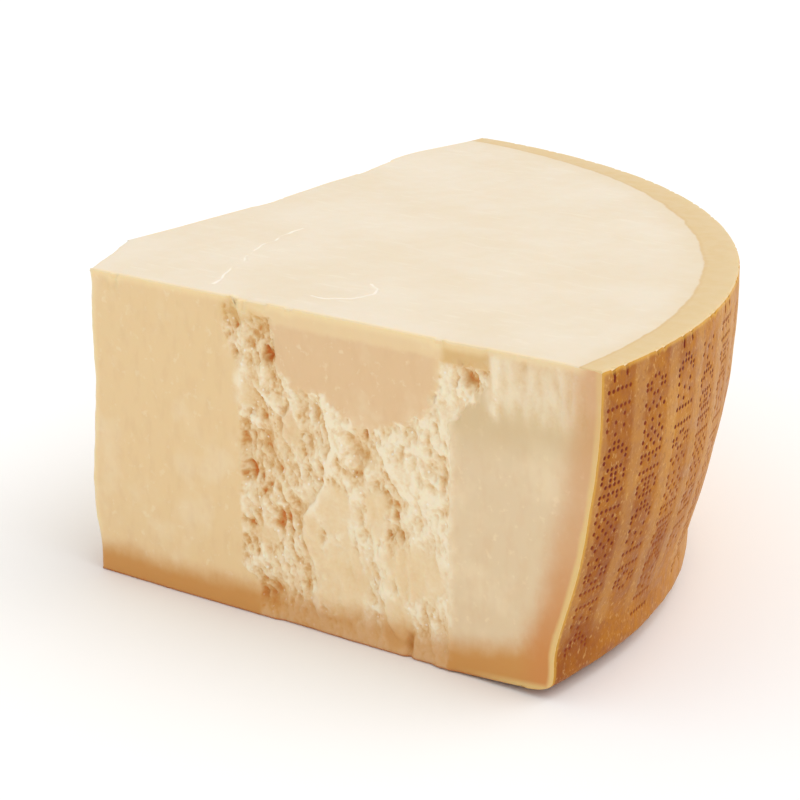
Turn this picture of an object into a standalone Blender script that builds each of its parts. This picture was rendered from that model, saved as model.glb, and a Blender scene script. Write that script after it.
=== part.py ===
"""A quarter of the lower half of a hard cheese wheel, as one solid.

The wheel was split level at mid height, then broken into quarters with short
blades, so the top is a flat cut, the side and the bottom are the wheel's own
rind, and the two upright faces are smooth where a blade went in and crumbly in
between. Metres, +Z up, origin under the middle of the piece's box.
"""

import math

import bmesh
import bpy
from mathutils import Vector, noise
from mathutils.geometry import intersect_point_line

MM = 0.001

# The wheel
WHEEL_RADIUS = 220 * MM        # at mid height, where the side bulges most
HALF_HEIGHT = 110 * MM
SIDE_SWELL = 3.9 * MM          # linear and square terms of the side's inward curve
SIDE_TAPER = 23.9 * MM
RIM_LIP = 3.8 * MM             # the flare that the mould leaves above the base
RIM_LIP_HEIGHT = 5 * MM
RIM_LIP_REACH = 9 * MM
BASE_LIFT = 2 * MM             # the base rises this much before the rim rounds up
BASE_FLAT_RADIUS = 150 * MM
RIM_ROUND_WIDTH = 12 * MM
RIM_ROUND_HEIGHT = 5 * MM
WHEEL_STEPS = 120

# Where the faces run, seen from above, with the wheel's axis at (0, 0)
FRONT_Y = -33.3 * MM
TIP_START = (19.1 * MM, FRONT_Y)    # front face to blunt tip
TIP_END = (4.6 * MM, 2.3 * MM)      # blunt tip to back face
BACK_END = (16.6 * MM, 219.4 * MM)  # where the back face meets the rind
BACK_ANGLE = math.radians(86.85)    # the back face's heading, from the tip to there

# The middle of the piece's box, seen from the wheel's axis
BOX_MIDDLE = Vector((112.566 * MM, 93.261 * MM, 0))

# The cutters, in millimetres
CUTTER_REACH = 260
CUTTER_OVERLAP = 15
ROW_SPACING = 3.6
FRONT_COLUMNS = ((-6, 6), (60, 3.2), (162, 5), (204, 0))
BACK_COLUMNS = ((-8, 6), (54, 3.4), (160, 6), (222, 0))
TIP_COLUMNS = ((-6, 5), (44, 0))

# The back face in millimetres: u runs from the rind to the tip
BACK_BOW = ((-10, 6.4), (0, 6.0), (45, 0.4), (95, 6.7), (145, 9.6), (230, 7.2))
BACK_BROKEN = (60, 156)
BACK_SHIFT = 7

# The blunt tip in millimetres
TIP_SWELL = 2.6
TIP_SWELL_HEIGHT = 32

# The front face in millimetres: u runs from the tip to the rind, z up from the base
LEFT_BLADE_EDGE = 63
RIGHT_BLADE_EDGE = 146
MIDDLE_BLADE = {"from": 77, "to": 141.5, "foot": 72, "rise": 22}
RIDGES = (
    {"path": ((63, 89), (72, 80), (84, 73), (85, 62)), "height": 2.6, "width": 3.0},
    {"path": ((86, 88), (98, 80), (99, 68), (95, 56), (97, 50), (90, 38), (94, 26)), "height": 3.2, "width": 3.6},
    {"path": ((113, 72), (124, 66), (128, 52)), "height": 2.4, "width": 3.4},
    {"path": ((117, 33), (120, 20), (126, 6)), "height": 2.6, "width": 3.0},
)
HOLLOWS = (
    {"at": (73, 94), "size": (6, 8), "depth": 3.2},
    {"at": (72, 66), "size": (8, 12), "depth": 2.4},
    {"at": (108, 67), "size": (9, 6), "depth": 3.4},
    {"at": (150, 98), "size": (6, 6), "depth": 4.2},
    {"at": (76, 44), "size": (9, 8), "depth": 2.2},
    {"at": (120, 46), "size": (7, 7), "depth": 2.4},
    {"at": (78, 12), "size": (8, 8), "depth": 3.0},
)
CRUMB_DEPTH = 3.4
CRUMB_SIZE = 9.0
BASE_FADE = 10          # it shallows out over this height above the base
TOP_FADE = (92, 109)    # and, on the back face, between these heights


def clear_scene():
    for item in list(bpy.data.objects):
        bpy.data.objects.remove(item, do_unlink=True)


def collection(name):
    made = bpy.data.collections.new(name)
    bpy.context.scene.collection.children.link(made)
    return made


def smoothstep(low, high, value):
    share = min(1.0, max(0.0, (value - low) / (high - low)))
    return share * share * (3 - 2 * share)


def bump(at, size, u, z):
    """1 at a point of a face, falling to 0 about one size away."""
    return math.exp(-(((u - at[0]) / size[0]) ** 2 + ((z - at[1]) / size[1]) ** 2))


def distance_to_path(path, u, z):
    here = Vector((u, z, 0))
    nearest = 1e9
    for start, end in zip(path, path[1:]):
        a, b = Vector((*start, 0)), Vector((*end, 0))
        share = intersect_point_line(here, a, b)[1]
        closest = a.lerp(b, min(1.0, max(0.0, share)))
        nearest = min(nearest, (here - closest).length)
    return nearest


def side_radius(height):
    """The rind's distance from the wheel's axis at a height above the base."""
    down = (HALF_HEIGHT - height) / HALF_HEIGHT
    lip = RIM_LIP * math.exp(-(((height - RIM_LIP_HEIGHT) / RIM_LIP_REACH) ** 2))
    return WHEEL_RADIUS + SIDE_SWELL * down - SIDE_TAPER * down * down + lip


def wheel_profile():
    """The half section from the top's middle, down the side, to the base's middle."""
    points = [(0.0, HALF_HEIGHT), (WHEEL_RADIUS, HALF_HEIGHT)]
    lowest_side = BASE_LIFT + RIM_ROUND_HEIGHT
    side_steps = 17
    for i in range(1, side_steps + 1):
        height = HALF_HEIGHT + (lowest_side - HALF_HEIGHT) * i / side_steps
        points.append((side_radius(height), height))
    rim = points[-1][0]
    for i in range(1, 5):
        turn = math.radians(22.5 * i)
        inward = RIM_ROUND_WIDTH * (1 - math.cos(turn))
        points.append((rim - inward, lowest_side - RIM_ROUND_HEIGHT * math.sin(turn)))
    inner = points[-1][0]
    for i in range(1, 5):
        share = i / 4
        radius = inner + (BASE_FLAT_RADIUS - inner) * share
        points.append((radius, BASE_LIFT * (1 - share) ** 2))
    points.append((0.0, 0.0))
    return points


def make_wheel(into):
    profile = wheel_profile()
    mesh = bpy.data.meshes.new("cheese_chunk")
    mesh.from_pydata([(r, 0.0, z) for r, z in profile], [(i, i + 1) for i in range(len(profile) - 1)], [])
    wheel = bpy.data.objects.new("cheese_chunk", mesh)
    into.objects.link(wheel)
    wheel.location = -BOX_MIDDLE
    screw = wheel.modifiers.new("turn", "SCREW")
    screw.axis = "Z"
    screw.angle = math.tau
    screw.steps = WHEEL_STEPS
    screw.render_steps = WHEEL_STEPS
    screw.use_merge_vertices = True
    screw.merge_threshold = 0.00001
    screw.use_smooth_shade = True
    return wheel


def crumbly(u, z):
    """0 on a blade's smooth cut, 1 where the front face broke between the blades."""
    left = LEFT_BLADE_EDGE - 5 * smoothstep(88, 98, z)
    right = RIGHT_BLADE_EDGE + 15 * smoothstep(84, 92, z)
    between = smoothstep(left - 1, left + 2, u) * (1 - smoothstep(right - 2, right + 1, u))
    blade = MIDDLE_BLADE
    middle = (blade["from"] + blade["to"]) / 2
    half = (blade["to"] - blade["from"]) / 2
    foot = blade["foot"] + blade["rise"] * ((u - middle) / half) ** 2
    smooth = smoothstep(foot - 2, foot + 3, z)
    smooth *= smoothstep(blade["from"] - 2, blade["from"] + 1, u) * (1 - smoothstep(blade["to"] - 1, blade["to"] + 2, u))
    return between * (1 - smooth)


def front_depth(u, z):
    """How far the front face lies behind its plane, in millimetres."""
    depth = 0.5 + 0.4 * noise.noise(Vector((u / 45, z / 45, 3.1)))
    rough = crumbly(u, z) * (0.1 + 0.9 * smoothstep(0, BASE_FADE, z))
    if rough > 0:
        broken = CRUMB_DEPTH + 2.0 * noise.noise(Vector((u / 22, z / 26, 7.7)))
        broken += 2.2 * noise.noise(Vector((u / CRUMB_SIZE, z / (1.5 * CRUMB_SIZE), 1.3)))
        for ridge in RIDGES:
            broken -= ridge["height"] * math.exp(-((distance_to_path(ridge["path"], u, z) / ridge["width"]) ** 2))
        for hollow in HOLLOWS:
            broken += hollow["depth"] * bump(hollow["at"], hollow["size"], u, z)
        depth += rough * max(0.3, broken)
    return depth


def along(stops, place):
    """A smooth value between stops, each a place and its value."""
    for (start, before), (end, after) in zip(stops, stops[1:]):
        if place <= end:
            return before + (after - before) * smoothstep(start, end, place)
    return stops[-1][1]


def back_depth(u, z):
    """The same for the back face, u from the rind: a blade's cut at each end and a broken middle."""
    depth = along(BACK_BOW, u) + 0.4 * noise.noise(Vector((u / 40, z / 40, 12.6)))
    depth += 1.5 * smoothstep(60, 10, z) * smoothstep(0, 60, u)
    wander = 6 * noise.noise(Vector((2.4, z / 20, 0)))
    rough = smoothstep(BACK_BROKEN[0], BACK_BROKEN[0] + 6, u + wander)
    rough *= 1 - smoothstep(BACK_BROKEN[1] - 6, BACK_BROKEN[1], u + wander)
    rough *= 1 - 0.9 * bump((112, 118), (22, 38), u, z)
    rough *= 0.1 + 0.9 * smoothstep(0, BASE_FADE, z)
    rough *= 1 - 0.7 * smoothstep(*TOP_FADE, z)
    broken = CRUMB_DEPTH - 0.6 + 2.4 * noise.noise(Vector((u / 24, z / 28, 21.5)))
    broken += 2.2 * noise.noise(Vector((u / CRUMB_SIZE, z / (1.5 * CRUMB_SIZE), 33.2)))
    return depth + rough * max(0.3, broken)


def tip_depth(u, z):
    """The blunt tip broke off: it swells low down, with a little roughness."""
    swell = math.exp(-(((z - TIP_SWELL_HEIGHT) / 22) ** 2))
    return TIP_SWELL * (1 - swell) + 0.5 + 0.5 * noise.noise(Vector((u / 12, z / 16, 50.3)))


def ticks(stops):
    """Places from the first stop to the last. Each stop is a place and the spacing that follows it."""
    places = []
    for (start, spacing), (end, _) in zip(stops, stops[1:]):
        count = max(1, round((end - start) / spacing))
        places += [start + (end - start) * i / count for i in range(count)]
    return places + [stops[-1][0]]


def face_cutter(name, start, heading, depth, columns, into):
    """A block whose near side is a face of the piece. u runs along heading, with the cheese on its left."""
    across = [columns[0] - CUTTER_REACH, *columns, columns[-1] + CUTTER_REACH]
    upward = ticks(((-CUTTER_OVERLAP, CUTTER_OVERLAP), (0, ROW_SPACING), (HALF_HEIGHT / MM, CUTTER_OVERLAP)))
    upward.append(HALF_HEIGHT / MM + CUTTER_OVERLAP)
    made = bmesh.new()
    bmesh.ops.create_grid(made, x_segments=len(across) - 1, y_segments=len(upward) - 1, size=0.5)
    for vertex in made.verts:
        u = across[round((vertex.co.x + 0.5) * (len(across) - 1))]
        z = upward[round((vertex.co.y + 0.5) * (len(upward) - 1))]
        vertex.co = Vector((u, depth(u, z), z)) * MM
    outer = bmesh.ops.extrude_face_region(made, geom=made.faces[:])["geom"]
    for item in outer:
        if isinstance(item, bmesh.types.BMVert):
            item.co.y = -CUTTER_REACH * MM
    bmesh.ops.recalc_face_normals(made, faces=made.faces[:])
    mesh = bpy.data.meshes.new(name)
    made.to_mesh(mesh)
    made.free()
    cutter = bpy.data.objects.new(name, mesh)
    into.objects.link(cutter)
    cutter.location = Vector((*start, 0)) - BOX_MIDDLE
    cutter.rotation_euler.z = heading
    cutter.hide_render = True
    cutter.display_type = "WIRE"
    return cutter


def cut(piece, cutter):
    difference = piece.modifiers.new(cutter.name, "BOOLEAN")
    difference.operation = "DIFFERENCE"
    difference.solver = "EXACT"
    difference.object = cutter


def aged_paste():
    """The cheese's own colour, a pale straw."""
    paste = bpy.data.materials.new("aged_paste")
    paste.use_nodes = True
    shader = paste.node_tree.nodes["Principled BSDF"]
    shader.inputs["Base Color"].default_value = (0.80, 0.62, 0.38, 1)
    shader.inputs["Roughness"].default_value = 0.55
    shader.inputs["Metallic"].default_value = 0.0
    return paste


def main():
    clear_scene()
    parts = collection("quarter_of_half_a_wheel")
    cutters = collection("cutters")
    piece = make_wheel(parts)
    piece.data.materials.append(aged_paste())

    front = face_cutter("front_cutter", TIP_START, 0.0, front_depth, ticks(FRONT_COLUMNS), cutters)
    # The other two run the other way round the piece, so that the cheese stays on the left.
    back_heading = BACK_ANGLE + math.pi
    outward = Vector((-math.sin(BACK_ANGLE), math.cos(BACK_ANGLE)))
    back_start = Vector(BACK_END) + BACK_SHIFT * MM * outward
    back = face_cutter("back_cutter", back_start, back_heading, back_depth, ticks(BACK_COLUMNS), cutters)
    tip_heading = math.atan2(TIP_START[1] - TIP_END[1], TIP_START[0] - TIP_END[0])
    outward = Vector((math.sin(tip_heading), -math.cos(tip_heading)))
    tip_start = Vector(TIP_END) + TIP_SWELL * MM * outward
    tip = face_cutter("tip_cutter", tip_start, tip_heading, tip_depth, ticks(TIP_COLUMNS), cutters)
    for cutter in (front, back, tip):
        cut(piece, cutter)
    # The large flat faces keep their own shading where they meet the round side.
    piece.modifiers.new("shading", "WEIGHTED_NORMAL")


main()
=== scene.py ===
# A quarter of the lower half of a parmesan wheel: cut level on top, broken at the sides, in its own rind.
import math
from functools import partial
import bpy
import numpy as np
from mathutils import Euler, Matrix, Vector, kdtree
from mathutils.geometry import delaunay_2d_cdt


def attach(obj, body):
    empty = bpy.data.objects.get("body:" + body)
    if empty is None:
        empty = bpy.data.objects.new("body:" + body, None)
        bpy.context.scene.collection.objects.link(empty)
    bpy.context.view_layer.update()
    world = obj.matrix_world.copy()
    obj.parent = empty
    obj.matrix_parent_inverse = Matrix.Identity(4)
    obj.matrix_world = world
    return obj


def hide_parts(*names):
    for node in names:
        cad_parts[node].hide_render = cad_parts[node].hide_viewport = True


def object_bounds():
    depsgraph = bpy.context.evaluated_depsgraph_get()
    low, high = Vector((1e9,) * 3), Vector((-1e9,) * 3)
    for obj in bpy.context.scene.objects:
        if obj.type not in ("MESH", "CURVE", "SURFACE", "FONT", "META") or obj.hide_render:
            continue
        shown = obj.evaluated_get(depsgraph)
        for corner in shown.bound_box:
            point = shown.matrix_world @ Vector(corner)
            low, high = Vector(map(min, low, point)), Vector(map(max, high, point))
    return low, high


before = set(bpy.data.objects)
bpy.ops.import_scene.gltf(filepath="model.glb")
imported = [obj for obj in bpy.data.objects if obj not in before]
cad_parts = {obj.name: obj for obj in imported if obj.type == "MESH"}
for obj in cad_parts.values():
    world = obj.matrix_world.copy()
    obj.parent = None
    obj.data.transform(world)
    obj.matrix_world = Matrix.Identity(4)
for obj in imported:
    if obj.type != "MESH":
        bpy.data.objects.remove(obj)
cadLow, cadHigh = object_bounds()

mm = 0.001  # the shape is worked out in millimetres, with the wheel's axis at the origin


def smooth(low, high, value):  # 0 at low and 1 at high, and so a falling step where low is the greater
    share = np.clip((value - low) / (high - low), 0, 1)
    return share * share * (3 - 2 * share)


def bell(value):
    return np.exp(-(value ** 2))


def spread(i, j, seed):  # a repeatable number from 0 to 1 for each whole-number pair
    i = i.astype(np.int64)
    j = j.astype(np.int64)
    mixed = (i * 374761393 + j * 668265263 + seed * 974634777) & 0xFFFFFFFF
    mixed = ((mixed ^ (mixed >> 13)) * 1274126177) & 0xFFFFFFFF
    mixed = ((mixed ^ (mixed >> 15)) * 2246822519) & 0xFFFFFFFF
    return ((mixed ^ (mixed >> 16)) & 0xFFFFFF) / 0xFFFFFF


def ripple(x, y, seed):  # soft gradient noise, about -1 to 1
    x = x + 0 * y
    y = y + 0 * x
    i, j = np.floor(x), np.floor(y)
    fx, fy = x - i, y - j
    sx = fx ** 3 * (fx * (6 * fx - 15) + 10)
    sy = fy ** 3 * (fy * (6 * fy - 15) + 10)
    total = np.zeros_like(fx)
    for di in (0, 1):
        for dj in (0, 1):
            turn = spread(i + di, j + dj, seed) * math.tau
            slope = np.cos(turn) * (fx - di) + np.sin(turn) * (fy - dj)
            total += slope * (sx if di else 1 - sx) * (sy if dj else 1 - sy)
    return total * 1.5


# Broken into cells: each point's cell height, its fall from a high left edge, and the gap to the next cell.
def flakes(x, y, seed):
    i, j = np.floor(x), np.floor(y)
    nearest = np.full(x.shape, 9.0)
    second = np.full(x.shape, 9.0)
    height = np.zeros(x.shape)
    fall = np.zeros(x.shape)
    for di in (-1, 0, 1):
        for dj in (-1, 0, 1):
            cx = i + di + 0.5 + 0.95 * (spread(i + di, j + dj, seed) - 0.5)
            cy = j + dj + 0.5 + 0.95 * (spread(i + di, j + dj, seed + 1) - 0.5)
            weight = 0.75 + 0.6 * spread(i + di, j + dj, seed + 4)  # some cells are much bigger than others
            away = np.hypot(x - cx, y - cy) * weight
            closer = away < nearest
            second = np.where(closer, nearest, np.minimum(second, away))
            nearest = np.where(closer, away, nearest)
            turn = math.pi + 2.6 * (spread(i + di, j + dj, seed + 2) - 0.5)
            lean = (x - cx) * np.cos(turn) + (y - cy) * np.sin(turn)
            fall = np.where(closer, lean, fall)
            height = np.where(closer, 2 * spread(i + di, j + dj, seed + 3) - 1, height)
    return height, fall, second - nearest


wheel = {
    "radius": 220.0,       # at mid height
    "halfHeight": 110.0,
    "swell": 3.9,          # linear and square terms of the side's inward curve
    "taper": 23.9,
    "lip": 3.8,            # the flare that the mould leaves above the base
    "lipHeight": 5.0,
    "lipReach": 9.0,
    "baseLift": 2.0,       # the base rises this much before the rim rounds up
    "baseFlat": 150.0,     # and is flat inside this radius
    "roundWidth": 12.0,
    "roundHeight": 5.0,
    "frontCut": 33.3,      # the front face's distance from the axis
    "frontSink": 0.32,     # and how far its outermost point lies inside that
}


def sideRadius(z):
    down = (wheel["halfHeight"] - z) / wheel["halfHeight"]
    lip = wheel["lip"] * bell((z - wheel["lipHeight"]) / wheel["lipReach"])
    return wheel["radius"] + wheel["swell"] * down - wheel["taper"] * down ** 2 + lip


def rindProfile(step):  # from the top rim down the side and round the rim, as radius and height
    low = wheel["baseLift"] + wheel["roundHeight"]
    z = np.linspace(wheel["halfHeight"], low, int((wheel["halfHeight"] - low) / step))
    r = sideRadius(z)
    turn = np.radians(np.linspace(0, 90, 9))[1:]
    r = np.append(r, r[-1] - wheel["roundWidth"] * (1 - np.cos(turn)))
    z = np.append(z, low - wheel["roundHeight"] * np.sin(turn))
    return r, z


profileR, profileZ = rindProfile(1.0)
profileLength = np.append(0, np.cumsum(np.hypot(np.diff(profileR), np.diff(profileZ))))
rimInner = profileR[-1]  # where the rounded rim meets the base


def baseHeight(r):
    share = np.clip((r - wheel["baseFlat"]) / (rimInner - wheel["baseFlat"]), 0, 1.2)
    return wheel["baseLift"] * share ** 2


# The wheel's axis in the part's frame: the widest rind is the box's +X side, and the front face its -Y side.
axisX = cadHigh.x / mm - sideRadius(np.linspace(80, 110, 31)).max()
axisY = cadLow.y / mm + wheel["frontCut"] - wheel["frontSink"]


# A face seen from above: u runs along it with the cheese on its left, z is the height, and depth goes inside.
def face(start, end, shift=0.0):
    way = np.subtract(end, start)
    way = way / np.hypot(*way)
    out = np.array([way[1], -way[0]])
    return {"start": np.array(start) + shift * out, "way": way, "out": out}


tipFront = (19.1, -wheel["frontCut"])   # front face to blunt tip
tipBack = (4.6, 2.3)                    # blunt tip to back face
rindBack = (16.6, 219.4)                # back face to rind
tipSwell = 2.6   # the tip's plane stands out this far, and its relief goes in from there
backShift = 7.0  # and so does the back's
frontPlane = face(tipFront, (tipFront[0] + 1, tipFront[1]))
tipPlane = face(tipBack, tipFront, tipSwell)
backPlane = face(rindBack, tipBack, backShift)


# The front face has two smooth blade cuts and the split between them. Each layer of the split has its forms'
# width and height, how far they stand out, how they shade, and what is kept where it is less crumbly.
split = {
    "layers": (
        {"form": "crest", "size": (10.0, 16.0), "relief": 1.0, "shade": 0.45, "kept": 0.6},
        {"form": "crest", "size": (4.4, 7.2), "relief": 0.6, "shade": 0.5, "kept": 0.25},
        {"form": "flake", "size": (2.1, 3.6), "relief": 0.42, "shade": 0.58, "kept": 0.0},
        {"form": "crest", "size": (1.4, 2.2), "relief": 0.20, "shade": 0.32, "kept": 0.1},
    ),
    "depth": 2.3, "roll": 1.5,
    "crests": (  # pressed up beside a blade: the place, the width, the strength, and its ends up the face
        (146.6, 1.1, 1.0, (12, 18, 86, 92)),
        (63.4, 1.8, 1.2, (71, 78, 86, 90)),
        (161.5, 1.3, 0.8, (86, 91, 106, 109)),
    ),
    "baseFade": 10,        # it shallows out over this height above the base
    "topFade": (92, 109),  # and, on the back face, between these heights
}

# Flakes with a crisp left edge and a slope that runs out to the right: how thick, how far it runs out, and
# the edge's way up the face as heights and places.
plates = (
    (2.2, 6, ((60, 84.5), (66, 80), (72, 80.5), (76, 83))),
    (1.2, 2.5, ((70, 82), (74, 78), (80, 71), (83, 68))),
    (3.0, 8, ((24, 93.5), (28, 91), (33, 88.5), (40, 88.5), (47, 94), (53, 97.5), (60, 98), (66, 100.5),
              (72, 99), (80, 96.5), (84, 95.5))),
    (2.4, 9, ((55, 128), (61, 123), (66, 121), (71, 117.5))),
    (2.2, 16, ((5, 126), (10, 122), (14, 121), (21, 119.5), (27, 118.5), (33, 117), (41, 115))),
    (1.6, 12, ((7, 93), (14, 92), (21, 91.5), (27, 90.5))),
)

# Where a flake came away clean, so that the surface is smooth: the middle and the size, along and up.
cleanFlakes = (
    ((104, 21), (11, 16)), ((101, 44), (6, 10)), ((133, 30), (13, 9)), ((125, 12), (6, 9)),
    ((92, 33), (4, 9)), ((83, 69), (4, 6)), ((117, 47), (4, 9)), ((72, 30), (5, 3)), ((66, 78), (3, 5)),
)

# Where the split is hollow: the middle, the size and the depth.
hollows = (
    ((75, 92.5), (2.2, 2.6), 3.6), ((70, 98), (5, 4), 1.8), ((68, 62), (5, 6), 1.4),
    ((91, 66), (3.2, 3.2), 1.8), ((112, 66), (5.5, 3.2), 2.4), ((107, 59), (4, 2.5), 1.6),
    ((120, 57), (4, 3), 1.8), ((151, 99), (3.4, 3.2), 3.4), ((147, 104), (3, 2), 1.4),
    ((139, 66), (3, 3), 1.2), ((124, 41), (3, 4), 2.2), ((72, 48), (6, 3), 1.3), ((81, 38), (6, 4), 1.6),
    ((76, 11), (5, 6), 2.2), ((130, 5), (1.3, 4.5), 2.6), ((137, 21), (2.5, 2), 1.3),
    ((50, 94), (1.6, 0.9), 0.5), ((53, 96), (1.0, 0.8), 0.5), ((11, 106.5), (1.4, 2.0), 1.2),
)


def within(u, z, middle, size):  # 0 in the middle of an oval, and 1 on its line
    return ((u - middle[0]) / size[0]) ** 2 + ((z - middle[1]) / size[1]) ** 2


# The second value is painted light: highlight where the split stands out, painted shade where it sinks.
def flaky(u, z, seed, calm):  # how far a split surface stands out, and how each point shades
    lean = u + 0.2 * z
    crumbly = smooth(-0.85, 0.05, ripple(lean / 13, z / 18, seed + 60)) * (1 - 0.9 * calm)
    out = np.zeros(u.shape)
    low = np.zeros(u.shape)
    for number, layer in enumerate(split["layers"]):
        wide, tall = layer["size"]
        own = seed + 10 * number
        bend = 0.5 * ripple(lean / (2.1 * wide), z / (1.6 * tall), own + 5)
        bend = bend + 0.2 * ripple(lean / (0.6 * wide), z / (0.5 * tall), own + 6)
        x = (lean + 0.8 * out) / wide + bend
        y = z / tall + 0.4 * ripple(lean / (1.2 * wide), z / (1.3 * tall), own + 7)
        if layer["form"] == "crest":
            form = 0.7 - 2.2 * np.abs(ripple(x, y, own))
        else:
            height, fall, gap = flakes(x, y, own)
            form = smooth(0, 0.22, gap) * (0.6 * height + 1.1 * fall)
        share = layer["kept"] + (1 - layer["kept"]) * crumbly
        out = out + layer["relief"] * share * form
        low = low + layer["shade"] * share * form
    return out, low


# How much of the split's depth a point has, and how torn it looks: 0 on a blade's cut and 1 on the split.
def splitShare(u, z):
    wobble = 0.8 * ripple(z / 5, u / 5, 61) + 0.5 * ripple(z / 1.7, u / 1.7, 65)
    fromLeft = u - np.interp(z, (0, 12, 17, 86, 91, 97, 110), (70, 70, 63, 63, 60, 57, 57)) + 0.6 * wobble
    fromRight = np.interp(z, (0, 84, 88, 97, 103, 110), (146, 146, 150, 158, 160, 160)) - u + wobble
    teeth = 2.2 * ripple(u / 4.2, z / 5.5, 66) + 1.2 * ripple(u / 2.1, z / 2.6, 67)
    fromRight = fromRight + smooth(78, 88, z) * teeth
    foot = np.interp(u, (76, 78, 87, 97, 111, 122, 136, 141), (108, 91, 82, 83, 73, 77, 85, 95))
    fromFoot = foot + 2.6 * ripple(u / 4.5, z / 9, 62) + 1.4 * ripple(u / 1.8, z / 4, 64) - z
    fromBlade = np.maximum(fromFoot, np.maximum(76.5 - u, u - 141.2) + 0.4 * wobble)
    lip = np.where(u > 120, 103.2, 105.8)  # a sound strip is left under the top edge
    fromLip = np.where(u < 66, 99, lip + 0.8 * ripple(u / 3, z / 3, 63) - z)
    inside = np.minimum(np.minimum(fromLeft, fromRight), np.minimum(fromBlade, fromLip))
    return smooth(-0.4, 2.4, inside), smooth(-0.5, 0.9, inside)


# Its third value is painted light: highlight on crests, plate edges and fold ridges, painted shade in
# hollows.
def frontRelief(u, z):  # depth, how split and how low each point is
    share, torn = splitShare(u, z)
    share = share * (0.1 + 0.9 * smooth(0, split["baseFade"], z))
    calm = np.zeros(u.shape)
    for middle, size in cleanFlakes:
        around = within(u, z, middle, size) + 0.5 * ripple(u / 4, z / 6, 71)
        calm = np.maximum(calm, 1 - smooth(0.45, 1.35, around))
    out, low = flaky(u, z, 100, calm)
    depth = split["depth"] + split["roll"] * ripple(u / 19, z / 24, 81)
    for thick, runOut, edge in plates:
        heights, edges = zip(*edge)
        across = u - np.interp(z, heights, edges) + 0.5 * ripple(z / 3, 0 * u, 91)
        ends = smooth(-2, 2, z - heights[0]) * smooth(2, -2, z - heights[-1])
        raised = ends * smooth(-0.8, 0.5, across) * bell(np.maximum(across, 0) / runOut)
        depth = depth - 0.8 * thick * raised
        # painted highlight along the plate's raised edge, and painted shade in the recess to its left
        low = low + 0.7 * raised * bell(across / 3.0)
        low = low - 0.3 * ends * bell((across + 2) / 1.6)
    depth = depth - out
    sunk = np.zeros(u.shape)
    for middle, size, down in hollows:
        ragged = within(u, z, middle, size) * (1 + 0.5 * ripple(u / 1.7, z / 2.1, 95))
        sunk = sunk + down * np.exp(-ragged)
    softDrop = 0.55 + 0.3 * ripple(u / 45, z / 38, 82) + 0.10 * ripple(u / 9, z / 14, 83)
    rightStep = 0.5 * smooth(146, 149, u) - 0.35 * smooth(170, 198, u)
    folded = smooth(157, 160, u) * smooth(199, 188, u)
    folded = folded * smooth(85, 94, z + 4 * ripple(u / 4, 0 * z, 85)) * smooth(109.5, 107, z)
    fold = 0.75 - 2.3 * np.abs(ripple((u + 0.16 * z) / 6.2, z / 24, 84)) + 0.5 * ripple(u / 2.4, z / 6, 86)
    middle = 1.1 * smooth(76, 80, u) * smooth(142, 138, u) * smooth(100, 70, z)
    cut = softDrop + rightStep - 0.7 * folded * fold + middle
    deep = cut * (1 - share) + share * np.maximum(0.3, depth) + sunk
    broken = 0.75 + 0.5 * ripple(z / 7, 0 * u, 96)
    wander = 0.9 * ripple(z / 5, 0 * u, 97)
    crest = np.zeros(u.shape)
    for middle, wide, strength, (start, full, less, end) in split["crests"]:
        over = bell((u - middle - wander) / wide) * smooth(start, full, z) * smooth(end, less, z)
        crest = crest + strength * (broken if strength >= 1 else 1) * over
    # the colour level: painted shade in the hollows, painted highlight on the crests and the folds' ridges,
    # with a tan tone to the left
    low = torn * (low - 0.3 * smooth(96, 84, u) + 0.08) - 0.36 * sunk + 0.75 * crest + 0.9 * folded * fold
    looksTorn = np.maximum(torn * (1 - 0.55 * calm), 0.8 * np.clip(crest + 0.6 * folded, 0, 1))
    return deep - 0.35 * crest, looksTorn, low


# The back face and the blunt tip are finished in the same way. Along the back face, and its depth there:
backBow = ((-10, 6.4), (0, 6.0), (45, 0.4), (95, 6.7), (145, 9.6), (230, 7.2))


def along(stops, place):
    total = np.full(place.shape, float(stops[0][1]))
    for (start, before), (end, after) in zip(stops, stops[1:]):
        total = total + (after - before) * smooth(start, end, place)
    return total


def backRelief(u, z):
    depth = along(backBow, u) + 0.35 * ripple(u / 40, z / 40, 201)
    depth = depth + 1.5 * smooth(60, 10, z) * smooth(0, 60, u)
    wander = 5 * ripple(z / 20, 0.3 + 0 * u, 202) + 0.8 * ripple(z / 5, u / 5, 203)
    wander = wander + 0.5 * ripple(z / 1.7, u / 1.7, 209)
    foot = np.interp(u, (86, 92, 104, 118, 130, 136), (112, 88, 80, 84, 92, 112))
    foot = foot + 1.8 * ripple(u / 4, z / 8, 204)
    blade = np.maximum(foot - z, np.maximum(87 - u, u - 135))
    inside = np.minimum(np.minimum(u + wander - 61, 155 - u - wander), blade)
    torn, share = smooth(-0.5, 0.9, inside), smooth(-0.4, 2.6, inside)
    share = share * (0.1 + 0.9 * smooth(0, split["baseFade"], z)) * (1 - 0.7 * smooth(*split["topFade"], z))
    islands = np.abs(ripple(u / 17, z / 23, 205)) + 0.25 * ripple(u / 4, z / 5, 206)
    calm = 1 - smooth(0.15, 0.45, islands + 0.12)
    out, low = flaky(u, z, 300, calm)
    broken = split["depth"] + 0.3 + 2.2 * ripple(u / 22, z / 27, 207) - out
    pits = np.maximum(0, ripple(u / 5.5, z / 6.5, 208) - 0.55) * 5
    deep = depth + share * (np.maximum(0.3, broken) + pits)
    # the third value: painted shade in the pits, added to the split's painted highlight and shade
    return deep, torn * (1 - 0.55 * calm), torn * (low - 0.5 * pits)


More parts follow.
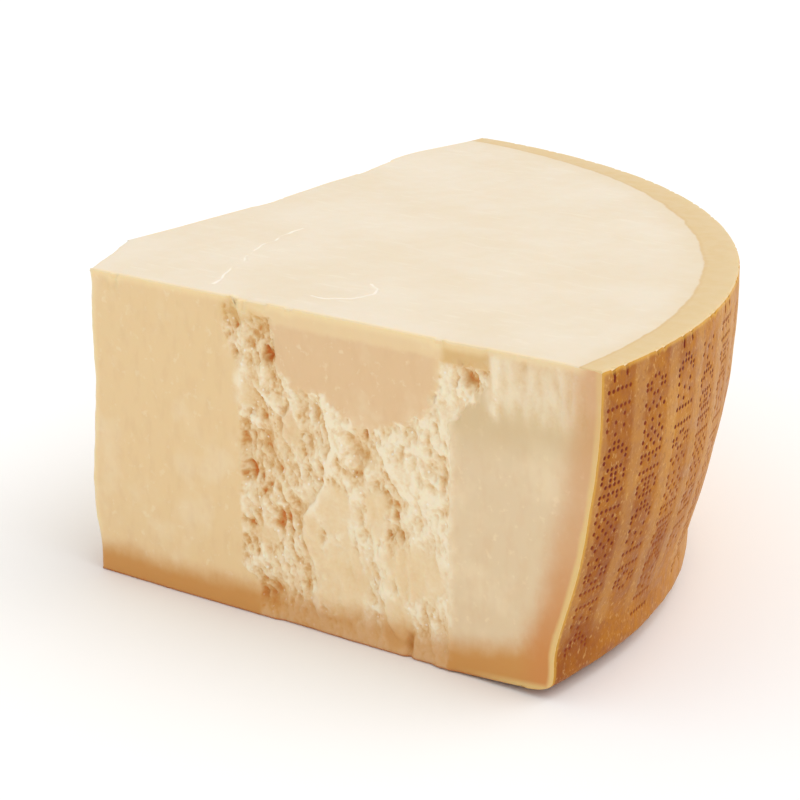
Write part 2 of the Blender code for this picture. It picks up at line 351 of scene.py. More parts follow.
def tipRelief(u, z):
    swell = bell((z - 32) / 22)
    depth = tipSwell * (1 - swell) + 0.5 + 0.5 * ripple(u / 12, z / 16, 401)
    out, low = flaky(u, z, 500, np.full(u.shape, 0.9))
    return np.maximum(0.1, depth - 0.35 * out), np.full(u.shape, 0.2), 0.4 * low


for plane, relief in ((frontPlane, frontRelief), (backPlane, backRelief), (tipPlane, tipRelief)):
    plane["relief"] = relief

# Chips along the top's front edge: the middle, how far each runs to either side, and how deep it is.
chips = ((11.0, 1.6, 1.6), (64.0, 2.6, 3.0), (70.5, 5.0, 1.7), (84.0, 1.6, 1.0), (141.0, 1.4, 1.5),
         (151.0, 7.0, 0.9), (171.0, 2.0, 0.6))

scars = (  # on the level cut, from above: a crack in from the front edge, its branch, and a scratch
    {"path": ((66, -24), (61, -11), (58, -2), (52, 14), (48, 27), (46, 51)), "width": 0.65, "fade": 0.9},
    {"path": ((52, 14), (57, 22), (60, 33)), "width": 0.6, "fade": 0.5},
    {"path": ((109, 6), (114, 1), (116, -5), (114, -12), (108, -16), (101, -17)), "width": 0.7, "fade": 0.9},
)


def awayFrom(path, x, y):  # distance to a bent line
    nearest = np.full(x.shape, 999.0)
    for (x0, y0), (x1, y1) in zip(path, path[1:]):
        runX, runY = x1 - x0, y1 - y0
        share = np.clip(((x - x0) * runX + (y - y0) * runY) / (runX ** 2 + runY ** 2), 0, 1)
        nearest = np.minimum(nearest, np.hypot(x - x0 - share * runX, y - y0 - share * runY))
    return nearest


def scarred(x, y):  # 1 in a scar's bottom, less than 0 on the lip beside it
    bentX, bentY = x + 1.3 * ripple(x / 7, y / 7, 803), y + 1.3 * ripple(x / 7, y / 7, 804)
    total = np.zeros(x.shape)
    for scar in scars:
        away = awayFrom(scar["path"], bentX, bentY)
        broken = scar["fade"] * (0.35 + 0.65 * smooth(-0.8, 0.3, ripple(x / 5, y / 5, 805)))
        form = bell(away / scar["width"]) - 0.7 * bell((away - 1.5) / 0.8)
        total = total + broken * form
    return total


def frontChips(u):  # how far the top's front edge is worn down
    worn = 0.25 + 0.22 * ripple(u / 3.1, 0 * u, 601) + 0.18 * ripple(u / 1.3, 0 * u, 602)
    for middle, half, down in chips:
        worn = worn + down * (1 - smooth(0.7, 1.15, np.abs(u - middle) / half))
    return np.maximum(0.05, worn)


def backChips(u):
    worn = 0.3 + 0.25 * ripple(u / 3.3, 0 * u, 611) + 0.2 * ripple(u / 1.4, 0 * u, 612)
    broken = smooth(58, 75, u) * smooth(156, 140, u)
    return np.maximum(0.05, worn + broken * (0.25 + 0.35 * ripple(u / 5, 0 * u, 613)))


# The rind has waves from the mould, and marks pricked in columns.
rindFinish = {
    "firstColumn": -7.6,     # degrees round the wheel
    "columnPitch": 5.4,
    "across": 6,             # dots across a mark, and the distance between them
    "dotPitch": 2.2,
    "rows": 4,               # dots down a mark
    "rowPitch": 1.85,
    "markPitch": 8.4,        # from one mark to the next
    "topStart": (7.5, 8.5),  # where the first mark of each column lies, in turn
    "lowest": (98.0, 84.0),  # and where the last one may end
    "grooves": (((2.2, 6), (8.6, 5)), ((5.4, 3), (9.8, 2))),  # at the rim, in turn: place and length in dots
    "pitRadius": 0.92,
    "pitDepth": 0.55,
}

# Plain shapes on a grid of dots, six across and four down. A mark says nothing.
marks = {
    "bars": lambda c, r: r in (0, 3),
    "checks": lambda c, r: (c + r) % 2 == 0,
    "chevrons": lambda c, r: r - abs(c - 2.5) + 0.5 in (0, 1),
    "diamond": lambda c, r: r in (0, 3) and c in (2, 3) or r in (1, 2) and c in (0, 1, 4, 5),
    "rail": lambda c, r: r in (0, 3) or r == 1 and c % 2 == 0,
    "slopes": lambda c, r: (c + 2 * r) % 4 < 1,
    "studs": lambda c, r: c % 2 == 0 and r % 3 == 0 or c % 2 and r == 1,
    "target": lambda c, r: r in (0, 3) and 0 < c < 5 or r in (1, 2) and c in (0, 2, 3, 5),
}


def rindWaves(a, t):
    waves = 0.40 * ripple(a / 46, t / 34, 701) + 0.16 * ripple(a / 13, t / 11, 702)
    return 0.35 + smooth(0, 14, t) * waves + 0.05 * ripple(a / 3.1, t / 2.2, 703)


def rimNotches(turn):  # 1 where a groove runs out through the rim
    column, share = np.divmod((np.degrees(turn) - rindFinish["firstColumn"]) / rindFinish["columnPitch"], 1)
    across = share * math.radians(rindFinish["columnPitch"]) * wheel["radius"]
    notch = np.zeros(turn.shape)
    for parity, grooves in enumerate(rindFinish["grooves"]):
        for middle, _ in grooves:
            notch = np.maximum(notch, (column % 2 == parity) * bell((across - middle) / 0.8))
    return notch


def markDots(firstAngle, lastAngle):  # every dot's place round the rind and down from the rim
    places = []
    names = sorted(marks)
    columns = int((lastAngle - firstAngle) / rindFinish["columnPitch"]) + 2
    for column in range(columns):
        angle = rindFinish["firstColumn"] + column * rindFinish["columnPitch"]
        left = math.radians(angle) * wheel["radius"]
        top = rindFinish["topStart"][column % 2]
        number = 0
        while top < rindFinish["lowest"][column % 2] - 6:
            chosen = number * (3 if column % 3 else 5) + 2 * column * column + column
            shape = marks[names[chosen % len(names)]]
            for c in range(rindFinish["across"]):
                for r in range(rindFinish["rows"]):
                    if shape(c, r):
                        places.append((left + c * rindFinish["dotPitch"], top + r * rindFinish["rowPitch"]))
            top += rindFinish["markPitch"]
            number += 1
        for across, length in rindFinish["grooves"][column % 2]:
            places.extend((left + across + 0.12 * step, 0.25 + 0.8 * step) for step in range(length))
    return np.array(places)


# The mesh is built from shared edges, and then a patch for each side.
sharp = np.zeros((0, 3))  # each edge point where the two surfaces would meet in a sharp corner
radius = np.zeros(0)      # how much that corner is rounded
place = np.zeros((0, 3))  # every point's final place
# low carries painted light: highlight and shade on the split faces, and a painted highlight along the scars
# on top
looks = {name: np.zeros(0) for name in ("split", "low", "edge", "dot")}  # what the materials read, by point
triangles = []
slots = []


def addPoints(rows, rounding=0.0, **values):
    global sharp, radius, place
    first = len(place)
    sharp = np.vstack([sharp, rows])
    place = np.vstack([place, rows])
    radius = np.append(radius, np.full(len(rows), rounding))
    for name in looks:
        looks[name] = np.append(looks[name], np.broadcast_to(values.get(name, 0.0), len(rows)))
    return np.arange(first, first + len(rows))


def onFace(plane, u, depth):
    return plane["start"] + np.outer(u, plane["way"]) - np.outer(depth, plane["out"])


def withHeight(xy, z):
    return np.column_stack([xy, np.broadcast_to(z, len(xy))])


def facesMeet(first, second, z):  # the edge between two faces
    outs = np.array([first["out"], second["out"]])
    depths = np.zeros((2, len(z)))
    for attempt in range(4):
        flush = np.array([[first["out"] @ first["start"]], [second["out"] @ second["start"]]])
        xy = np.linalg.solve(outs, flush - depths).T
        for row, plane in enumerate((first, second)):
            depths[row] = plane["relief"]((xy - plane["start"]) @ plane["way"], z)[0]
    return withHeight(xy, z)


def faceMeetsRind(plane, r, z, sign):
    u = np.full(len(z), 198.0 if sign > 0 else 0.0)
    for attempt in range(5):
        foot = onFace(plane, 0 * u, plane["relief"](u, z)[0])
        half = foot @ plane["way"]
        xy = foot + np.outer(u, plane["way"])
        a = np.arctan2(xy[:, 1], xy[:, 0]) * wheel["radius"]
        reach = r - rindWaves(a, np.interp(-z, -profileZ, profileLength))
        u = -half + sign * np.sqrt(half ** 2 - (foot ** 2).sum(1) + reach ** 2)
    return withHeight(foot + np.outer(u, plane["way"]), z)


def levelEdge(plane, start, end, spacing, drop):  # at the top of a face where drop is given, or else its foot
    u0, u1 = (start[:2] - plane["start"]) @ plane["way"], (end[:2] - plane["start"]) @ plane["way"]
    u = np.linspace(u0, u1, int(abs(u1 - u0) / spacing) + 1)[1:-1]
    if drop is None:
        xy = onFace(plane, u, plane["relief"](u, 0 * u)[0])
        z = baseHeight(np.hypot(*xy.T))
    else:
        share = smooth(0, 3, np.minimum(u - u0, u1 - u))
        z = topZ - drop(u) * share - cornerDrop * (1 - share)
    return withHeight(onFace(plane, u, plane["relief"](u, z)[0]), z)


def tipWorn(u):  # how far the top's edge at the tip is worn down
    return 0.9 + 0.3 * ripple(u / 4, 0 * u, 621)


def rimArc(start, end, r, z, spacing, worn):
    first, last = math.atan2(start[1], start[0]), math.atan2(end[1], end[0])
    turn = np.linspace(first, last, int((last - first) * wheel["radius"] / spacing) + 1)[1:-1]
    t = np.interp(-z, -profileZ, profileLength)
    notch = rimNotches(turn) * (worn > 0)
    reach = r - rindWaves(turn * wheel["radius"], t + 0 * turn) - 0.6 * notch
    height = z - worn * (1 + 0.5 * ripple(turn * 70, 0 * turn, 631)) - 0.9 * notch
    return np.column_stack([reach * np.cos(turn), reach * np.sin(turn), height])


topZ = wheel["halfHeight"]
cornerDrop = 0.6  # how far the top's corners are worn down
rindR, rindZ = rindProfile(0.9)
rindZ[0] = topZ - cornerDrop
edges = {
    "tipFront": facesMeet(frontPlane, tipPlane, np.linspace(topZ - cornerDrop, 0, 120)),
    "tipBack": facesMeet(tipPlane, backPlane, np.linspace(topZ - cornerDrop, 0, 100)),
    "frontRind": faceMeetsRind(frontPlane, rindR, rindZ, 1),
    "backRind": faceMeetsRind(backPlane, rindR, rindZ, -1),
}
for name, plane, start, end, topSpace, worn, baseSpace in (
        ("front", frontPlane, "tipFront", "frontRind", 0.65, frontChips, 0.7),
        ("back", backPlane, "backRind", "tipBack", 0.9, backChips, 0.9),
        ("tip", tipPlane, "tipBack", "tipFront", 0.8, tipWorn, 1.0)):
    edges[name + "Top"] = levelEdge(plane, edges[start][0], edges[end][0], topSpace, worn)
    edges[name + "Base"] = levelEdge(plane, edges[start][-1], edges[end][-1], baseSpace, None)
edges["rimTop"] = rimArc(edges["frontRind"][0], edges["backRind"][0], wheel["radius"], topZ, 0.65, 0.4)
edges["rimBase"] = rimArc(edges["frontRind"][-1], edges["backRind"][-1], rimInner, wheel["baseLift"], 2.2, 0)

corners = {}


def cornerId(position):
    key = tuple(np.round(position, 4))
    if key not in corners:
        corners[key] = addPoints(np.array([position]), 0.7)[0]
    return corners[key]


rounding = {
    "tipFront": 1.2, "tipBack": 1.5, "frontRind": 0.5, "backRind": 0.5, "frontTop": 0.7, "backTop": 0.8,
    "tipTop": 1.5, "frontBase": 0.8, "backBase": 0.8, "tipBase": 0.8, "rimTop": 0.6, "rimBase": 0.0,
}
ids = {}
for name in ("tipFront", "tipBack", "frontRind", "backRind"):
    rows = edges[name]
    middle = addPoints(rows[1:-1], rounding[name])
    ids[name] = np.concatenate([[cornerId(rows[0])], middle, [cornerId(rows[-1])]])
for level, corner in (("Top", 0), ("Base", -1)):
    for side, start, end in (("front", "tipFront", "frontRind"), ("back", "backRind", "tipBack"),
                             ("tip", "tipBack", "tipFront"), ("rim", "frontRind", "backRind")):
        middle = addPoints(edges[side + level], rounding[side + level])
        ids[side + level] = np.concatenate([[ids[start][corner]], middle, [ids[end][corner]]])
looks["dot"][ids["rimTop"]] = rimNotches(np.arctan2(place[ids["rimTop"], 1], place[ids["rimTop"], 0]))
print("edges laid out:", len(place), "points")


spacing = {"front": 0.56, "back": 0.85, "tip": 1.1, "top": 0.5, "base": 0.9, "rind": 1.05}  # at its finest


def lattice(low, high, fine, coarse, shake, seed):  # a grid that thins out where coarse is 2, 4 or 8
    i = np.arange(math.floor(low[0] / fine), math.ceil(high[0] / fine) + 1)
    j = np.arange(math.floor(low[1] / fine), math.ceil(high[1] / fine) + 1)
    i, j = (grid.ravel() for grid in np.meshgrid(i, j))
    step = coarse(i * fine, j * fine).astype(int)
    kept = (i % step == 0) & (j % step == 0)
    i, j, step = i[kept], j[kept], step[kept]
    x = (i + shake * step * (spread(i, j, seed) - 0.5)) * fine
    y = (j + shake * step * (spread(i, j, seed + 1) - 0.5)) * fine
    return np.column_stack([x, y])


def quarterRound(away, size):  # how far a rounded edge lies inside, at a distance from the sharp one
    size = np.maximum(size, 0.001)
    inside = np.clip(away, 0, size)
    return size - np.sqrt(np.maximum(size ** 2 - (size - inside) ** 2, 0))


def treeOf(rows):  # finds the nearest of some flat points
    tree = kdtree.KDTree(len(rows))
    for number, (x, y) in enumerate(rows):
        tree.insert((x, y, 0), number)
    tree.balance()
    return tree


def fillPatch(loop, toFlat, outward, surface, grid, slot, flipped=False, extra=None, extraGap=0.0):
    global place
    around = np.concatenate([edge[:-1] for edge in loop])
    outline = toFlat(sharp[around])
    size = radius[around]
    place[around] -= outward(outline) * (0.29 * size)[:, None]
    ahead = np.roll(outline, -1, 0) - np.roll(outline, 1, 0)
    inward = np.column_stack([-ahead[:, 1], ahead[:, 0]]) / np.linalg.norm(ahead, axis=1)[:, None]
    beside = [(outline + inward * (size * share)[:, None])[size > 0.2] for share in (0.62, 1.05)]
    tree = treeOf(outline)

    def toOutline(rows):
        found = [tree.find((x, y, 0)) for x, y in rows]
        return np.array([f[1] for f in found], int), np.array([f[2] for f in found])

    kept = []
    for rows, share in zip(beside, (0.62, 1.05)):
        near, away = toOutline(rows)
        kept.append(rows[away > 0.9 * share * size[near]])
    if extra is not None:
        near, away = toOutline(extra)
        extra = extra[away > 1.3]
        kept.append(extra)
        extraTree = treeOf(extra)
        grid = grid[[extraTree.find((x, y, 0))[2] > extraGap for x, y in grid]]
    near, away = toOutline(grid)
    kept.append(grid[away > 1.15 * size[near] + 0.25])
    inner = np.vstack(kept)
    inputs = [Vector(row) for row in np.vstack([outline, inner])]
    ring = [(k, (k + 1) % len(outline)) for k in range(len(outline))]
    flatPoints, _, faces, origins, _, _ = delaunay_2d_cdt(inputs, ring, [], 1, 1e-5)
    faces = np.array(faces)
    source = np.array([o[0] for o in origins])
    used = np.unique(faces)
    toId = np.full(len(source), -1)
    onRing = used[source[used] < len(outline)]
    toId[onRing] = around[source[onRing]]
    fresh = used[source[used] >= len(outline)]
    rows = np.array([flatPoints[k][:] for k in fresh])
    near, away = toOutline(rows)
    base, values = surface(rows)
    base = base - outward(rows) * quarterRound(away, size[near])[:, None]
    values["edge"] = away
    toId[fresh] = addPoints(base, **values)
    triangles.append(toId[faces][:, ::-1] if flipped else toId[faces])
    slots.append(np.full(len(faces), slot))
    return around, outline


def facePatch(plane, loop, low, high, fine, coarse, shake, seed):
    def toFlat(rows):
        return np.column_stack([(rows[:, :2] - plane["start"]) @ plane["way"], rows[:, 2]])

    def outward(flat):
        return np.broadcast_to(np.append(plane["out"], 0), (len(flat), 3))

    def surface(flat):
        deep, torn, low = plane["relief"](*flat.T)
        return withHeight(onFace(plane, flat[:, 0], deep), flat[:, 1]), {"split": torn, "low": low}

    grid = lattice(low, high, fine, coarse, shake, seed)
    around, outline = fillPatch(loop, toFlat, outward, surface, grid, 1)
    _, looks["split"][around], looks["low"][around] = plane["relief"](*outline.T)


def back(name):
    return ids[name][::-1]


def frontCoarse(u, z):
    cut = np.where((u > 158) & (z > 86) | (np.minimum(z, topZ - z) <= 4), 2, 4)
    return np.where(splitShare(u, z)[1] > 0.02, 1, cut)


def backCoarse(u, z):
    return np.where(backRelief(u, z)[1] > 0.02, 1, np.where(np.minimum(z, topZ - z) <= 4, 2, 4))


facePatch(frontPlane, [ids["frontBase"], back("frontRind"), back("frontTop"), ids["tipFront"]],
          (0, 0), (200, 111), spacing["front"], frontCoarse, 0.55, 11)
print("front face:", len(place), "points so far")
facePatch(backPlane, [ids["backBase"], back("tipBack"), back("backTop"), ids["backRind"]],
          (-6, 0), (226, 111), spacing["back"], backCoarse, 0.55, 13)
facePatch(tipPlane, [ids["tipBase"], back("tipFront"), back("tipTop"), ids["tipBack"]],
          (-4, 0), (44, 111), spacing["tip"], lambda u, z: np.ones(u.shape), 0.4, 15)
print("back face and tip:", len(place), "points so far")


def topSurface(rows):
    x, y = rows.T
    wave = 0.12 * ripple(x / 50, y / 50, 801) + 0.05 * ripple(x / 12, y / 12, 802)
    chipped = np.clip(frontChips(x - tipFront[0]) - 0.4, 0, 3) * (x > tipFront[0] + 2)
    near = np.exp(-((y + wheel["frontCut"]) / 2.2)) * chipped
    scar = scarred(x, y)
    # low marks the scars' bottoms, which get a painted highlight
    return np.column_stack([x, y, topZ + wave - 0.12 - 0.8 * near - 0.1 * scar]), {"low": np.maximum(scar, 0)}


def topCoarse(x, y):
    reach = np.hypot(x, y)
    cut = np.where((y < -26) | (reach > 216), 2, np.where(reach > 200, 4, 8))
    nearest = np.min([awayFrom(scar["path"], x, y) for scar in scars], axis=0)
    return np.where(nearest < 3.5, 1, cut)


def fromAbove(rows):
    return rows[:, :2]


def upward(rows):
    return np.broadcast_to((0.0, 0.0, 1.0), (len(rows), 3))


def downward(rows):
    return -upward(rows)


fillPatch([ids["frontTop"], ids["rimTop"], ids["backTop"], ids["tipTop"]], fromAbove, upward, topSurface,
          lattice((0, -36), (222, 222), spacing["top"], topCoarse, 0.3, 17), 0)


def baseSurface(rows):
    x, y = rows.T
    r = np.hypot(x, y)
    dents = np.maximum(0, 0.25 * ripple(x / 7, y / 7, 811) + 0.12 * ripple(x / 2.9, y / 2.9, 812))
    return np.column_stack([x, y, baseHeight(r) + dents]), {}


baseGrid = lattice((0, -36), (200, 200), spacing["base"], lambda x, y: np.where(y < -30, 1, 4), 0.3, 19)
fillPatch([ids["frontBase"], ids["rimBase"], ids["backBase"], ids["tipBase"]], fromAbove, downward,
          baseSurface, baseGrid, 2, flipped=True)
print("top and base:", len(place), "points so far")


def rindFlat(rows):
    a = np.arctan2(rows[:, 1], rows[:, 0]) * wheel["radius"]
    return np.column_stack([a, -np.interp(-rows[:, 2], -profileZ, profileLength)])


slopeR = np.gradient(profileR, profileLength)
slopeZ = np.gradient(profileZ, profileLength)


def rindOut(flat):
    turn, t = flat[:, 0] / wheel["radius"], -flat[:, 1]
    across, up = -np.interp(t, profileLength, slopeZ), np.interp(t, profileLength, slopeR)
    size = np.hypot(across, up)
    return np.column_stack([np.cos(turn) * across / size, np.sin(turn) * across / size, up / size])


outlineA = rindFlat(np.array([edges["frontRind"][0], edges["backRind"][0]]))[:, 0]
dots = markDots(*np.degrees(outlineA / wheel["radius"]))
a, t = dots.T
dots = dots + 0.16 * np.column_stack([ripple(a * 1.7, t * 1.3, 711), ripple(a * 1.3, t * 1.7, 712)])
dots = dots[(dots[:, 0] > outlineA[0] + 1.2) & (dots[:, 0] < outlineA[1] - 1.2)]
flatDots = dots * (1, -1)
dotRing = [(0, 0)] + [(math.cos(k * math.tau / 6), math.sin(k * math.tau / 6)) for k in range(6)]
dotPoints = np.vstack([flatDots + rindFinish["pitRadius"] * np.array(offset) for offset in dotRing])
dotTree = treeOf(flatDots)


def rindSurface(flat):
    turn, t = flat[:, 0] / wheel["radius"], -flat[:, 1]
    r, z = np.interp(t, profileLength, profileR), np.interp(t, profileLength, profileZ)
    base = np.column_stack([r * np.cos(turn), r * np.sin(turn), z])
    away = np.array([dotTree.find((x, y, 0))[2] for x, y in flat])
    pit = 1 - smooth(0, 0.75 * rindFinish["pitRadius"], away)
    down = rindWaves(flat[:, 0], t) + rindFinish["pitDepth"] * pit
    return base - rindOut(flat) * down[:, None], {"dot": pit}


rindGrid = lattice((outlineA[0] - 4, -profileLength[-1]), (outlineA[1] + 4, 0), spacing["rind"],
                   lambda a, t: np.where(t > -3, 1, 2), 0.3, 21)
fillPatch([ids["rimBase"], back("backRind"), back("rimTop"), ids["frontRind"]], rindFlat, rindOut,
          rindSurface, rindGrid, 2, extra=dotPoints, extraGap=0.85)
print("rind:", len(place), "points,", len(dots), "dots")

faces = np.vstack(triangles)
chunkMesh = bpy.data.meshes.new("parmesanChunk")
inFrame = (place + np.array([axisX, axisY, 0])) * mm
chunkMesh.from_pydata(inFrame.tolist(), [], faces.tolist())
chunkMesh.polygons.foreach_set("material_index", np.concatenate(slots))
chunkMesh.polygons.foreach_set("use_smooth", np.ones(len(faces), bool))
reach = np.hypot(place[:, 0], place[:, 1])
turn = np.arctan2(place[:, 1], place[:, 0])
around = np.degrees(turn)
height = place[:, 2]
across = place[:, 0] - tipFront[0]
onFront = place[:, 1] < 12 - wheel["frontCut"]
columnPlace = np.radians((around - rindFinish["firstColumn"]) % rindFinish["columnPitch"]) * wheel["radius"]
middleOfArc = np.sin(math.pi * np.clip((around + 8) / 93, 0, 1))
rightCut = smooth(141, 149, across)
panel = smooth(70, 80, across) * smooth(143, 138, across) * smooth(60, 80, height)
rightLip = smooth(141.5, 143, across) * smooth(160, 158.5, across) * smooth(101.5, 103.5, height)
leftLip = smooth(55, 58, across) * smooth(78, 68, across) * smooth(99, 104, height)
atTip = np.hypot(place[:, 0] - tipBack[0], place[:, 1] - tipBack[1]) < 9
looks["side"] = sideRadius(np.clip(height, 0, topZ)) - reach  # how far inside the rind
looks["base"] = height - baseHeight(reach)
looks["drop"] = topZ - height
looks["rim"] = smooth(168, 198, reach)
looks["band"] = looks["side"] / (8.2 + 4.8 * middleOfArc)  # 1 at the dried band's inner line
looks["tint"] = np.where(onFront, rightCut - panel, 0)
looks["lip"] = np.where(onFront, rightLip + 0.7 * leftLip, 0)
looks["edge"] = looks["edge"] + 1.6 * atTip
# the rind is painted darker at the front corner and lighter towards the back, where more light falls on it
looks["round"] = smooth(-10, 52, around)
looks["stripe"] = smooth(13.2, 14.4, columnPlace) * smooth(14, 24, height)  # the bare strip beside a column
looks["worn"] = np.clip(0.15 + 0.45 * smooth(8, 50, around) + 0.3 * smooth(60, 15, height)
                        + 0.35 * ripple(turn * 6, height / 26, 731), 0, 0.85)
for name, values in looks.items():
    layer = chunkMesh.attributes.new(name, "FLOAT", "POINT")
    layer.data.foreach_set("value", values.astype(np.float32))
chunk = bpy.data.objects.new("parmesanChunk", chunkMesh)
bpy.context.scene.collection.objects.link(chunk)
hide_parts("cheese_chunk")
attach(chunk, "root")
print("mesh:", len(faces), "triangles")


def srgb(code):  # a hex colour as the linear values that the shader takes
    parts = [int(code[k:k + 2], 16) / 255 for k in (0, 2, 4)]
    return (*[p / 12.92 if p <= 0.04045 else ((p + 0.055) / 1.055) ** 2.4 for p in parts], 1.0)


# The kinds of node: Blender's name, what is always set, the inputs for values in turn, and the output.
nodeKinds = {
    "attribute": ("Attribute", {}, (), "Fac"),
    "bump": ("Bump", {}, ("Strength", "Distance", "Height"), 0),
    "cells": ("TexVoronoi", {}, ("Vector", "Scale"), "Distance"),
    "fade": ("MapRange", {"interpolation_type": "SMOOTHSTEP"}, (0, 1, 2, 3, 4), 0),
    "larger": ("Math", {"operation": "MAXIMUM"}, (0, 1), 0),
    "minus": ("Math", {"operation": "SUBTRACT"}, (0, 1), 0),
    "mix": ("Mix", {"data_type": "RGBA"}, (0, 6, 7), 2),
    "noise": ("TexNoise", {"Roughness": 0.55}, ("Vector", "Scale", "Detail"), 0),
    "plus": ("Math", {"operation": "ADD"}, (0, 1), 0),
    "position": ("TexCoord", {}, (), "Object"),
    "ramp": ("ValToRGB", {}, (0,), 0),
    "range": ("MapRange", {"clamp": False}, (0, 3, 4), 0),  # straight, from the value at 0 to that at 1
    "stretch": ("Mapping", {}, ("Vector", "Scale"), 0),
    "times": ("Math", {"operation": "MULTIPLY"}, (0, 1), 0),
}


def addNode(tree, kind, *values, stops=(), **settings):  # with its settings, values, links and ramp stops
    name, always, inputs, output = nodeKinds[kind]
    made = tree.nodes.new("ShaderNode" + name)
    for key, value in {**always, **settings}.items():
        if key in made.inputs:
            made.inputs[key].default_value = value
        else:
            setattr(made, key, value)
    for key, value in zip(inputs, values):
        if isinstance(value, bpy.types.NodeSocket):
            tree.links.new(value, made.inputs[key])
        else:
            made.inputs[key].default_value = srgb(value) if isinstance(value, str) else value
    if stops:
        elements = made.color_ramp.elements
        while len(elements) < len(stops):
            elements.new(0.5)
        for element, (where, colour) in zip(elements, stops):
            element.position = where
            element.color = srgb(colour)
    return made.outputs[output]


def scaleFor(size):  # a pattern's scale for forms that are about that many millimetres across
    return 1 / (size * mm)


# Soft blotches over a colour, one after another. Each has its own colour, its size in millimetres, its
# detail, how it fades in, and how it is squeezed along each axis.
def overlaid(add, where, colour, overlays):
    for over, size, detail, fade, squeeze in overlays:
        blotches = add("noise", add("stretch", where, squeeze), scaleFor(size), detail)
        colour = add("mix", add("fade", blotches, *fade), colour, over)
    return colour


def newMaterial(name, look):  # in the mesh's next slot, with what is the same all over it
    made = bpy.data.materials.new(name)
    made.use_nodes = True
    shader = made.node_tree.nodes["Principled BSDF"]
    for socket, value in look["shader"].items():
        shader.inputs[socket].default_value = value
    chunkMesh.materials.append(made)
    return made.node_tree, shader


# Wire-cut aged cheese paste: pressed smooth and drying, so it is ivory, even, and satin.
topCut = {
    # scar is a painted highlight along the cracks; edge is the warm cream painted on the rounded front edge
    # and chips
    "warm": "e5d4b8", "scar": "fbf4e6", "edge": "f0d6a4", "insideBand": "dfc69a",
    "bandOuter": "dbbe88", "bandInner": "d8b87f", "bandPale": "e8d2a8", "bandLine": "cda469",
    "overlays": (  # pale drier blotches, and streaks along X, the way that the wire ran
        ("e8dac3", 38, 3, (0.3, 0.7), (1, 1, 1)),
        ("f1e6d2", 3.2, 3, (0.56, 0.74, 0, 0.3), (0.25, 1, 1)),
    ),
    "bandWaver": 9, "bandBlotch": 4, "wireLine": 1.2, "grit": 0.9, "sheenPatch": 6,  # sizes in millimetres
    "shader": {"Roughness": 0.5, "IOR": 1.46, "Subsurface Weight": 0.18, "Subsurface Radius": (1, 0.62, 0.34),
               "Subsurface Scale": 3.0 * mm},
}


def makeTopCut(look):
    tree, shader = newMaterial("agedPasteWireCut", look)
    add = partial(addNode, tree)
    where = add("position")
    names = "side", "band", "low", "edge", "drop"
    side, band, low, edge, drop = (add("attribute", attribute_name=name) for name in names)
    ivory = overlaid(add, where, look["warm"], look["overlays"])
    # a pale line along the cracks and the scratch: painted highlight
    ivory = add("mix", add("fade", low, 0.2, 0.8, 0, 0.75), ivory, look["scar"])
    waver = add("noise", where, scaleFor(look["bandWaver"]), 3)
    wavy = add("plus", band, add("range", waver, -0.11, 0.11))
    tan = add("mix", add("fade", side, 0, 9), look["bandOuter"], look["bandInner"])
    blotches = add("noise", where, scaleFor(look["bandBlotch"]), 3)
    tan = add("mix", add("times", blotches, 0.3), tan, look["bandPale"])
    tan = add("mix", add("fade", wavy, 0.86, 0.97, 0, 0.35), tan, look["bandLine"])
    colour = add("mix", add("fade", wavy, 0.97, 1.05), tan, ivory)
    colour = add("mix", add("fade", wavy, 1, 1.9, 0.25, 0), colour, look["insideBand"])
    # the rounded front edge and the chips, which face away from the light, show the front's paste colour made
    # paler: painted glow in place of the grey of their shade
    worn = add("times", add("fade", edge, 0.3, 2.4, 0.6, 0), add("fade", side, 8, 14))
    worn = add("larger", worn, add("fade", drop, 0.5, 1.1))
    colour = add("mix", worn, colour, look["edge"])
    tree.links.new(colour, shader.inputs["Base Color"])
    drag = add("noise", add("stretch", where, (0.12, 1, 1)), scaleFor(look["wireLine"]), 3)
    grit = add("noise", where, scaleFor(look["grit"]), 2)
    relief = add("plus", add("times", drag, 0.6), add("times", grit, 0.5))
    tree.links.new(add("bump", 0.22, 0.25 * mm, relief), shader.inputs["Normal"])
    sheen = add("noise", where, scaleFor(look["sheenPatch"]), 2)
    tree.links.new(add("fade", sheen, 0.3, 0.7, 0.42, 0.6), shader.inputs["Roughness"])


# Aged paste that was opened with short blades: waxy where a blade pressed, grainy and dry where it split,
# with white crystals, painted shade in its amber hollows and painted highlight on its cream crests. Towards
# the rind it is darker and drier.
openPaste = {
    "cut": "eccd9a", "cutPink": "e6c395", "cutPale": "e4cba4", "underTop": "f0d5a4", "underFolds": "d6bb8c",
    # crest is a painted highlight, and the hollow and pit colours are painted shade
    "crest": "f8e9ca", "grain": "edd1a4", "hollow": "d8a766", "pit": "d0762a", "crystal": "fdf6ea",
    "nearBase": "d0944a", "baseSkin": "b4572a", "nearSide": "d08a45", "lip": "dcb26c", "sideStrip": "e4c682",
    # a pale band along the face's edges: painted glow
    "edge": "f6e0ae",
    "overlays": (  # pale patches, pale specks and tan streaks down the cut
        ("f3deb8", 17, 3, (0.48, 0.70, 0, 0.45), (1, 1, 1)),
        ("f3deb8", 3.4, 3, (0.58, 0.72, 0, 0.5), (1, 1, 1)),
        ("dcb383", 4.5, 4, (0.45, 0.70, 0, 0.2), (1, 1, 0.45)),
    ),
    "ragged": 7, "crumbTone": 1.3, "crystals": 3.4, "bandWander": 10, "waxyDrag": 2.2, "crumb": 0.8,  # in mm
    "shader": {"Roughness": 0.52, "IOR": 1.46, "Subsurface Weight": 0.25, "Subsurface Radius": (1, 0.58, 0.3),
               "Subsurface Scale": 3.0 * mm},
}


